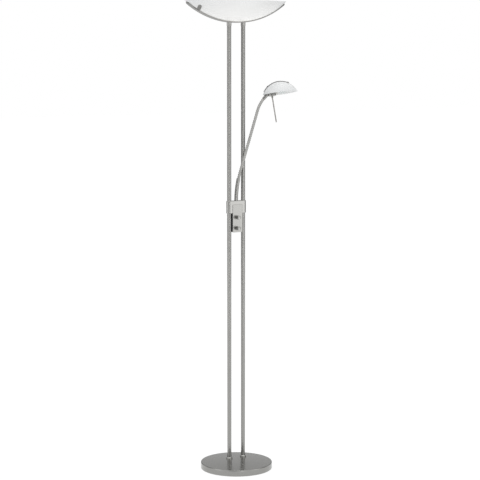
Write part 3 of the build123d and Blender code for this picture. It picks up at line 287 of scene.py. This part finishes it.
def lathe(name, profile, place=Matrix(), turns=128):
    """A closed mesh turned from (radius, height) pairs that run up the outside."""
    shape = bmesh.new()
    rings = []
    for radius, height in profile:
        if radius < 1e-7:
            rings.append([shape.verts.new(place @ Vector((0, 0, height)))])
            continue
        angles = [2 * pi * turn / turns for turn in range(turns)]
        spots = [place @ Vector((radius * cos(angle), radius * sin(angle), height)) for angle in angles]
        rings.append([shape.verts.new(spot) for spot in spots])
    closed = rings[0] if len(rings[0]) > 1 and len(rings[-1]) > 1 else None
    pairs = list(zip(rings, rings[1:])) + ([(rings[-1], rings[0])] if closed else [])
    for low, high in pairs:
        for turn in range(turns):
            after = (turn + 1) % turns
            corners = [low[turn % len(low)], low[after % len(low)]]
            corners += [high[after % len(high)], high[turn % len(high)]]
            corners = list(dict.fromkeys(corners))
            if len(corners) > 2:
                shape.faces.new(corners)
    bmesh.ops.recalc_face_normals(shape, faces=shape.faces)
    mesh = bpy.data.meshes.new(name)
    shape.to_mesh(mesh)
    shape.free()
    return mesh


def rounded(points, edges):
    """A profile whose corners are rounded off, by one radius for each point."""
    made = []
    count = len(points)
    for number, (point, edge) in enumerate(zip(points, edges)):
        corner = Vector(point)
        if edge == 0 or number in (0, count - 1):
            made.append(tuple(corner))
            continue
        before = (Vector(points[number - 1]) - corner).normalized()
        after = (Vector(points[number + 1]) - corner).normalized()
        for step in range(5):
            share = step / 4
            spot = corner + before * (edge * (1 - share) ** 2) + after * (edge * share**2)
            made.append(tuple(spot))
    return made


BASE_RADIUS = 0.138
BASE_TOP = 0.024
COVER_WALL = 0.0012
COVER_LIFT = 0.001
PAD_RADIUS = 0.131
PAD_DEPTH = 0.002
cover_profile = rounded(
    [
        (0, BASE_TOP),
        (BASE_RADIUS, BASE_TOP),
        (BASE_RADIUS, COVER_LIFT),
        (BASE_RADIUS - COVER_WALL, COVER_LIFT),
        (BASE_RADIUS - COVER_WALL, BASE_TOP - COVER_WALL),
        (0, BASE_TOP - COVER_WALL),
    ],
    [0, 0.0024, 0.0004, 0.0004, 0.001, 0],
)
base_nickel = satin_nickel("base_nickel", "rings", 0.33, 0.20)
keep("cover", lathe("cover", cover_profile, turns=192), base_nickel, "stand", ["base_cover"])

felt, paint = material("felt")
place = paint.node("ShaderNodeTexCoord", out="Object")
hairs = paint.node("ShaderNodeTexNoise", {"Vector": place, "Scale": 1400.0, "Detail": 4.0, "Roughness": 0.7})
clumps = paint.node("ShaderNodeTexVoronoi", {"Vector": place, "Scale": 420.0})
nap = hairs * 0.7 + clumps * 0.5
surface(
    paint,
    {
        "Base Color": nap.blend((0.012, 0.012, 0.013, 1), (0.055, 0.055, 0.058, 1)),
        "Roughness": 0.95,
        "Normal": paint.node("ShaderNodeBump", {"Height": nap, "Strength": 0.6, "Distance": 0.0004}),
    },
    Sheen_Weight=0.4,
)
pad_corners = [(0, 0), (PAD_RADIUS, 0), (PAD_RADIUS, PAD_DEPTH), (0, PAD_DEPTH)]
pad_profile = rounded(pad_corners, [0, 0.0008, 0.0004, 0])
keep("pad", lathe("pad", pad_profile, turns=160), felt, "stand", ["base_pad"])

cast_iron, paint = material("cast_iron")
place = paint.node("ShaderNodeTexCoord", out="Object")
sand = paint.node("ShaderNodeTexNoise", {"Vector": place, "Scale": 900.0, "Detail": 5.0})
surface(
    paint,
    {
        "Base Color": sand.blend((0.03, 0.03, 0.032, 1), (0.075, 0.073, 0.07, 1)),
        "Roughness": 0.6 + sand * 0.2,
        "Normal": paint.node("ShaderNodeBump", {"Height": sand, "Strength": 0.5, "Distance": 0.0005}),
    },
    Metallic=0.6,
)
dress(["base_weight"], cast_iron)


def moulded(name, colour, rough=0.42):
    """Moulded plastic: an even colour with a fine spark-eroded texture."""
    made, paint = material(name)
    place = paint.node("ShaderNodeTexCoord", out="Object")
    grain = paint.node("ShaderNodeTexNoise", {"Vector": place, "Scale": 2200.0, "Detail": 2.0})
    shade = [channel * 0.8 for channel in colour]
    surface(
        paint,
        {
            "Base Color": grain.blend((*shade, 1), (*colour, 1)),
            "Roughness": rough + grain * 0.14,
            "Normal": paint.node("ShaderNodeBump", {"Height": grain, "Strength": 0.25, "Distance": 0.0002}),
        },
    )
    return made


black_plastic = moulded("black_plastic", (0.03, 0.031, 0.034))
dress(["cord_gland"], black_plastic)


# ---------------------------------------------------------------- poles
# Two steel tubes, each in two lengths that meet inside the clamp block. They are drawn, plated
# and brushed along their length. Turned collars finish them at the foot and at the top.

POLE_X = 0.028
POLE_Y = 0.0485
POLE_SPREAD = 0.0311
POLE_RADIUS = 0.008
POLE_WALL = 0.0012
POLE_SPLIT = 1.0125
POLE_TOP = 1.711
pole_nickel = satin_nickel("pole_nickel", "Z", 0.35, 0.20)
collar_nickel = satin_nickel("collar_nickel", "Z", 0.42, 0.18)
for side, x in (("left", POLE_X - POLE_SPREAD), ("right", POLE_X + POLE_SPREAD)):
    stands = Matrix.Translation((x, POLE_Y, 0))
    for part, low, high in (("lower", BASE_TOP, POLE_SPLIT), ("upper", POLE_SPLIT, POLE_TOP)):
        wall = [
            (POLE_RADIUS - POLE_WALL, low),
            (POLE_RADIUS, low),
            (POLE_RADIUS, high),
            (POLE_RADIUS - POLE_WALL, high),
        ]
        tube = lathe(f"{part}_tube_{side}", wall, stands, 64)
        keep(f"{part}_tube_{side}", tube, pole_nickel, "stand", [f"pole_{part}_{side}"])

dress(["foot_collars", "top_collars"], collar_nickel)

zinc_steel, paint = material("zinc_steel")
place = paint.node("ShaderNodeTexCoord", out="Object")
spangle = paint.node("ShaderNodeTexNoise", {"Vector": place, "Scale": 300.0, "Detail": 3.0})
surface(
    paint,
    {
        "Base Color": spangle.blend((0.42, 0.42, 0.41, 1), (0.62, 0.62, 0.60, 1)),
        "Roughness": 0.22 + spangle * 0.2,
    },
    Metallic=1.0,
)
dress(
    [
        "foot_nipples", "top_nipples", "arm_nipple", "pipe_nuts", "pole_plugs", "pole_couplers",
        "clamp_screws", "dimmer_nuts", "spindle_upper", "spindle_lower", "lamp_frame", "head_bracket",
    ],
    zinc_steel,
)


# ---------------------------------------------------------------- clamp block and panel
# Two cast halves grip both poles. A thick brushed panel stands on their flat front and hangs
# below them, with the black dimmer housing behind it and two turned knobs in front.

block_nickel = satin_nickel("block_nickel", "Z", 0.39, 0.22)
panel_nickel = satin_nickel("panel_nickel", "Z", 0.39, 0.28)
knob_nickel = satin_nickel("knob_nickel", "Y", 0.38, 0.20)
dress(["block_front", "block_rear"], block_nickel)
dress(["front_panel"], panel_nickel)
dress(["knob_upper", "knob_lower"], knob_nickel)
dress(["dimmer_housing", "dimmer_upper", "dimmer_lower"], black_plastic)
dress(["terminal_block"], moulded("white_plastic", (0.75, 0.75, 0.72)))


# ---------------------------------------------------------------- flexible arm
# A hose wound from steel strip, stiff enough to stay where it is bent. It rises from a smooth
# sleeve in the block's top, and it is made in stretches, each round one of the knuckles inside.

ARM_TURN = radians(-31)
OUT = Vector((cos(ARM_TURN), sin(ARM_TURN), 0))
AWAY = UP.cross(OUT)
ARM_FOOT = Vector((POLE_X, POLE_Y, 1.037))
LOW_RADIUS = 0.400
LOW_ANGLE = radians(15.8)
LEAN_LENGTH = 0.245
HIGH_RADIUS = 0.132
HIGH_ANGLE = radians(26.6)
FIRST_KNUCKLE = 0.096
KNUCKLE_STEP = 0.0385
RIBS_PER_LINK = 5
RIB_PITCH = KNUCKLE_STEP / RIBS_PER_LINK
HOSE_CREST = 0.00575
HOSE_VALLEY = 0.0043
HOSE_STEP = 0.00055
LINK_COUNT = 8


def arm_point(length):
    """A point on the arm's line at this length from the block."""
    low = min(length / LOW_RADIUS, LOW_ANGLE)
    lean = max(0.0, min(length - LOW_RADIUS * LOW_ANGLE, LEAN_LENGTH))
    rest = max(0.0, length - LOW_RADIUS * LOW_ANGLE - LEAN_LENGTH)
    high = min(rest / HIGH_RADIUS, HIGH_ANGLE)
    rest = max(0.0, rest - HIGH_RADIUS * HIGH_ANGLE)
    out = LOW_RADIUS * (1 - cos(low)) + lean * sin(LOW_ANGLE)
    out += HIGH_RADIUS * (cos(low) - cos(low + high)) + rest * sin(low + high)
    up = LOW_RADIUS * sin(low) + lean * cos(LOW_ANGLE)
    up += HIGH_RADIUS * (sin(low + high) - sin(low)) + rest * cos(low + high)
    return ARM_FOOT + OUT * out + UP * up


def input_of(tree, name, kind, value):
    """Adds a named input to a node tree and gives its identifier."""
    item = tree.interface.new_socket(name, in_out="INPUT", socket_type=kind)
    if value is not None:
        item.default_value = value
    return item.identifier


hose_tree = bpy.data.node_groups.new("ribbed_hose", "GeometryNodeTree")
hose_inputs = {
    "Path": input_of(hose_tree, "Path", "NodeSocketGeometry", None),
    "Crest": input_of(hose_tree, "Crest", "NodeSocketFloat", HOSE_CREST),
    "Valley": input_of(hose_tree, "Valley", "NodeSocketFloat", HOSE_VALLEY),
    "Rib Pitch": input_of(hose_tree, "Rib Pitch", "NodeSocketFloat", RIB_PITCH),
    "Finish": input_of(hose_tree, "Finish", "NodeSocketMaterial", None),
}
hose_tree.interface.new_socket("Hose", in_out="OUTPUT", socket_type="NodeSocketGeometry")
knit = Maths(hose_tree)
hose_start = hose_tree.nodes.new("NodeGroupInput")
given = {name: Maths(hose_tree, hose_start.outputs[name]) for name in hose_inputs}
along = knit.node("GeometryNodeSplineParameter", out="Length")
wave = knit.maths("COSINE", along / given["Rib Pitch"] * (2 * pi))
crest = (0.5 - wave * 0.5) ** 0.6
radius = given["Valley"] + (given["Crest"] - given["Valley"]) * crest
circle = knit.node("GeometryNodeCurvePrimitiveCircle", {"Resolution": 40, "Radius": 1.0})
rounds = {"Curve": given["Path"], "Profile Curve": circle, "Scale": radius, "Fill Caps": True}
hose = knit.node("GeometryNodeCurveToMesh", rounds)
hose = knit.node("GeometryNodeRealizeInstances", {"Geometry": hose})
hose = knit.node("GeometryNodeSetMaterial", {"Geometry": hose, "Material": given["Finish"]})
knit.node("NodeGroupOutput", {"Hose": hose})


def hose_mesh(name, start, end, finish):
    """A stretch of hose along the arm, from one length to another, as a plain mesh."""
    line = bpy.data.curves.new(name, "CURVE")
    line.dimensions = "3D"
    spline = line.splines.new("POLY")
    steps = max(2, round((end - start) / HOSE_STEP))
    spline.points.add(steps)
    for number, point in enumerate(spline.points):
        point.co = (*arm_point(start + (end - start) * number / steps), 1)
    carrier = bpy.data.objects.new(name, line)
    bpy.context.scene.collection.objects.link(carrier)
    modifier = carrier.modifiers.new("hose", "NODES")
    modifier.node_group = hose_tree
    modifier[hose_inputs["Crest"]] = HOSE_CREST
    modifier[hose_inputs["Valley"]] = HOSE_VALLEY
    modifier[hose_inputs["Rib Pitch"]] = RIB_PITCH
    modifier[hose_inputs["Finish"]] = finish
    bpy.context.view_layer.update()
    ready = carrier.evaluated_get(bpy.context.evaluated_depsgraph_get())
    mesh = bpy.data.meshes.new_from_object(ready)
    bpy.data.objects.remove(carrier)
    shape = bmesh.new()
    shape.from_mesh(mesh)
    bmesh.ops.remove_doubles(shape, verts=shape.verts, dist=1e-6)
    bmesh.ops.recalc_face_normals(shape, faces=shape.faces)
    shape.to_mesh(mesh)
    shape.free()
    mesh.name = name
    return mesh


hose_nickel = satin_nickel("hose_nickel", "Z", 0.42, 0.20)
BEND_BEFORE = 0.009
BEND_AFTER = 0.011
LAST_BEND_AFTER = 0.0015
for number in range(LINK_COUNT + 1):
    knuckle = FIRST_KNUCKLE + KNUCKLE_STEP * number
    start = knuckle - 3 * RIB_PITCH
    end = knuckle + 2 * RIB_PITCH
    if number == LINK_COUNT:
        end = knuckle + RIB_PITCH
    name = f"hose_{number + 1}"
    mesh = hose_mesh(name, start, end, hose_nickel)
    replaced = ["flex_root"] if number == 0 else [f"flex_link_{number}"]
    piece = keep(name, mesh, hose_nickel, None, replaced, 60)
    first = arm_point(knuckle - BEND_BEFORE)
    last = arm_point(knuckle + (LAST_BEND_AFTER if number == LINK_COUNT else BEND_AFTER))
    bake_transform(piece)

sleeve_nickel = satin_nickel("sleeve_nickel", "Z", 0.37, 0.20)
dress(["arm_sleeve"], sleeve_nickel)


# ---------------------------------------------------------------- reading head
# A small boat of frosted glass hangs upside down from a bent strip. Its turned holder sits on
# the end of the hose, and a glass rod below it serves to aim the light.

HEAD_PITCH = radians(6.6)
HEAD_ROLL = radians(9.0)
HEAD_OUT = 0.1685
HEAD_RISE = 0.412
HEAD_RADIUS = 0.073
HEAD_DEPTH = 0.044
HEAD_WALL = 0.0035
HEAD_TIP = 0.0008
head_along = OUT * cos(HEAD_PITCH) + UP * sin(HEAD_PITCH)
head_up = (UP * cos(HEAD_PITCH) - OUT * sin(HEAD_PITCH)) * cos(HEAD_ROLL) + AWAY * sin(HEAD_ROLL)
head_side = head_up.cross(head_along)
head_place = Matrix((head_along, head_side, head_up)).transposed().to_4x4()
head_place.translation = ARM_FOOT + OUT * HEAD_OUT + UP * HEAD_RISE


def glass_boat(name, place, radius, depth, wall, tip, along=96, round_=48):
    """A thin glass shell: an arc turned half a turn about the long axis of its rim."""
    drop = radius - depth
    half = sqrt(radius**2 - drop**2) - tip
    inner_half = sqrt((radius - wall) ** 2 - drop**2)
    shape = bmesh.new()
    columns = []
    for number in range(along + 1):
        x = -half * cos(pi * number / along)
        outer = sqrt(radius**2 - x**2) - drop
        inner = max(sqrt(max((radius - wall) ** 2 - x**2, drop**2)) - drop, 0.0)
        if abs(x) >= inner_half:
            inner = 0.0
        loop = []
        for step in range(round_ + 1):
            angle = -pi / 2 + pi * step / round_
            loop.append((outer, angle))
        for step in range(round_ + 1):
            angle = pi / 2 - pi * step / round_
            loop.append((inner, angle))
        spots = [place @ Vector((x, reach * sin(angle), reach * cos(angle))) for reach, angle in loop]
        columns.append([shape.verts.new(spot) for spot in spots])
    for low, high in zip(columns, columns[1:]):
        count = len(low)
        for step in range(count):
            after = (step + 1) % count
            shape.faces.new([low[step], low[after], high[after], high[step]])
    for ring in (columns[0], columns[-1]):
        shape.faces.new(ring)
    bmesh.ops.remove_doubles(shape, verts=shape.verts, dist=2e-5)
    bmesh.ops.dissolve_degenerate(shape, edges=shape.edges, dist=1e-6)
    bmesh.ops.recalc_face_normals(shape, faces=shape.faces)
    mesh = bpy.data.meshes.new(name)
    shape.to_mesh(mesh)
    shape.free()
    return mesh


def frosted_glass(name, lamp, reach, glow, painted_glow_colour):
    """Opal glass, sandblasted outside, with a painted glow round the lamp's place that stands in for the
    lamp's light shining through it.
    """
    made, paint = material(name)
    place = paint.node("ShaderNodeTexCoord", out="Object")
    grain = paint.node("ShaderNodeTexNoise", {"Vector": place, "Scale": 1500.0, "Detail": 2.0})
    cloud = paint.node("ShaderNodeTexNoise", {"Vector": place, "Scale": 9.0, "Detail": 1.0})
    # Painted glow: emission that fades out from the lamp's place, standing in for the lamp's light through
    # the glass.
    away = place.vector("SUBTRACT", place, tuple(lamp))
    away = away.vector("DIVIDE", away, reach)
    painted_glow_mask = 1 - away.vector("LENGTH", away, out="Value")
    painted_glow_mask = painted_glow_mask.maths("MAXIMUM", painted_glow_mask, 0.0) ** 1.4
    surface(
        paint,
        {
            "Base Color": cloud.blend((0.89, 0.91, 0.92, 1), (0.93, 0.94, 0.945, 1)),
            "Roughness": 0.30 + grain * 0.12,
            "Normal": paint.node("ShaderNodeBump", {"Height": grain, "Strength": 0.03, "Distance": 0.0001}),
            "Emission Color": painted_glow_mask.blend((0, 0, 0, 1), painted_glow_colour),
        },
        Emission_Strength=glow,
        Coat_Weight=0.15,
        Coat_Roughness=0.12,
    )
    return made


# The head's glass gets a painted glow round its bulb, in place of the bulb's light.
head_lamp = head_place @ Vector((0.012, 0, 0.010))
head_painted_glow_reach = (0.10, 0.09, 0.08)
head_glass_finish = frosted_glass("head_frosted_glass", head_lamp, head_painted_glow_reach, 0.32, (1.0, 0.97, 0.92, 1))
head_boat = glass_boat("head_boat", head_place, HEAD_RADIUS, HEAD_DEPTH, HEAD_WALL, HEAD_TIP)
keep("head_boat", head_boat, head_glass_finish, "head", ["head_glass"])

ferrule_nickel = satin_nickel("ferrule_nickel", "Z", 0.34, 0.22)
# The strips and lugs are the same nickel as the rest, painted darker: painted shade for their shaded
# undersides and edges.
strip_nickel_painted_shade = satin_nickel("strip_nickel_painted_shade", "X", 0.24, 0.24)
dress(["head_ferrule", "head_holder", "rod_ferrule"], ferrule_nickel)
dress(["head_strip", "shade_strip", "shade_lugs"], strip_nickel_painted_shade)
dress(["head_screws", "lug_screws", "lug_nuts"], satin_nickel("screw_nickel", "Z", 0.24, 0.22))

ceramic, paint = material("ceramic")
place = paint.node("ShaderNodeTexCoord", out="Object")
speck = paint.node("ShaderNodeTexNoise", {"Vector": place, "Scale": 700.0, "Detail": 3.0})
surface(
    paint,
    {
        "Base Color": speck.blend((0.72, 0.70, 0.66, 1), (0.86, 0.85, 0.81, 1)),
        "Roughness": 0.35 + speck * 0.2,
    },
)
dress(["head_socket", "lamp_holders"], ceramic)

clear_glass, paint = material("clear_glass")
place = paint.node("ShaderNodeTexCoord", out="Object")
ripple = paint.node("ShaderNodeTexNoise", {"Vector": place, "Scale": 60.0, "Detail": 1.0})
surface(
    paint,
    {
        "Base Color": ripple.blend((0.80, 0.84, 0.84, 1), (0.9, 0.93, 0.93, 1)),
        "Roughness": 0.03 + ripple * 0.03,
    },
    Transmission_Weight=1.0,
    IOR=1.47,
)
dress(["head_bulb", "halogen_tube"], clear_glass)

# The rod is solid glass, which looks darker than the thin bulbs because light turns away in it; that darkness
# is painted shade in its colour.
rod_glass, paint = material("rod_glass")
place = paint.node("ShaderNodeTexCoord", out="Object")
streak = paint.node("ShaderNodeTexNoise", {"Vector": place, "Scale": 40.0, "Detail": 1.0})
surface(
    paint,
    {
        "Base Color": streak.blend((0.42, 0.405, 0.38, 1), (0.52, 0.505, 0.48, 1)),
        "Roughness": 0.10 + streak * 0.08,
    },
    Transmission_Weight=0.6,
    IOR=1.47,
)
dress(["glass_rod"], rod_glass)


# ---------------------------------------------------------------- shade
# A large boat of frosted glass lies on a bent metal strip that the poles carry. Two lugs with
# capped screws hold it at the sides, and a halogen lamp sits over a bright trough inside it. The
# lamp's light on the glass is a painted glow in the glass's material.

RIM_HEIGHT = 1.8
LAMP_HEIGHT = 1.752
SHADE_RADIUS = 0.358
SHADE_DEPTH = 0.081
SHADE_WALL = 0.004
SHADE_TIP = 0.0012
shade_place = Matrix(((1, 0, 0), (0, -1, 0), (0, 0, -1))).to_4x4()
shade_place.translation = Vector((POLE_X, POLE_Y, RIM_HEIGHT))
shade_lamp = Vector((POLE_X, POLE_Y, LAMP_HEIGHT))
# The shade's glass gets a painted glow round the lamp, in place of the lamp's light.
shade_painted_glow_reach = (0.36, 0.22, 0.20)
shade_glass_finish = frosted_glass("shade_frosted_glass", shade_lamp, shade_painted_glow_reach, 0.42, (1.0, 0.95, 0.88, 1))
shade_size = (SHADE_RADIUS, SHADE_DEPTH, SHADE_WALL, SHADE_TIP)
shade_boat = glass_boat("shade_boat", shade_place, *shade_size, along=160, round_=64)
keep("shade_boat", shade_boat, shade_glass_finish, "stand", ["shade_glass"])

seal_rubber = moulded("seal_rubber", (0.05, 0.05, 0.05), 0.6)
SEAL_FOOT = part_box("shade_seals")[0].z
SEAL_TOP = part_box("shade_seals")[1].z
SEAL_BORE = 0.0051
SEAL_RADIUS = 0.0095
seal_corners = [(SEAL_BORE, SEAL_FOOT), (SEAL_RADIUS, SEAL_FOOT)]
seal_corners += [(SEAL_RADIUS, SEAL_TOP), (SEAL_BORE, SEAL_TOP)]
seal_profile = rounded(seal_corners, [0, 0.0004, 0.0004, 0])
for side, x in (("left", POLE_X - POLE_SPREAD), ("right", POLE_X + POLE_SPREAD)):
    washer = lathe(f"washer_{side}", seal_profile, Matrix.Translation((x, POLE_Y, 0)), 48)
    keep(f"washer_{side}", washer, seal_rubber, "stand", ["shade_seals"])

bright_aluminium, paint = material("bright_aluminium")
place = paint.node("ShaderNodeTexCoord", out="Object")
drawn = place.vector("MULTIPLY", place, (8, 900, 900))
rolled = paint.node("ShaderNodeTexNoise", {"Vector": drawn, "Detail": 2.0})
surface(
    paint,
    {
        "Base Color": rolled.blend((0.78, 0.79, 0.80, 1), (0.9, 0.9, 0.91, 1)),
        "Roughness": 0.16 + rolled * 0.12,
    },
    Metallic=1.0,
)
dress(["reflector"], bright_aluminium)
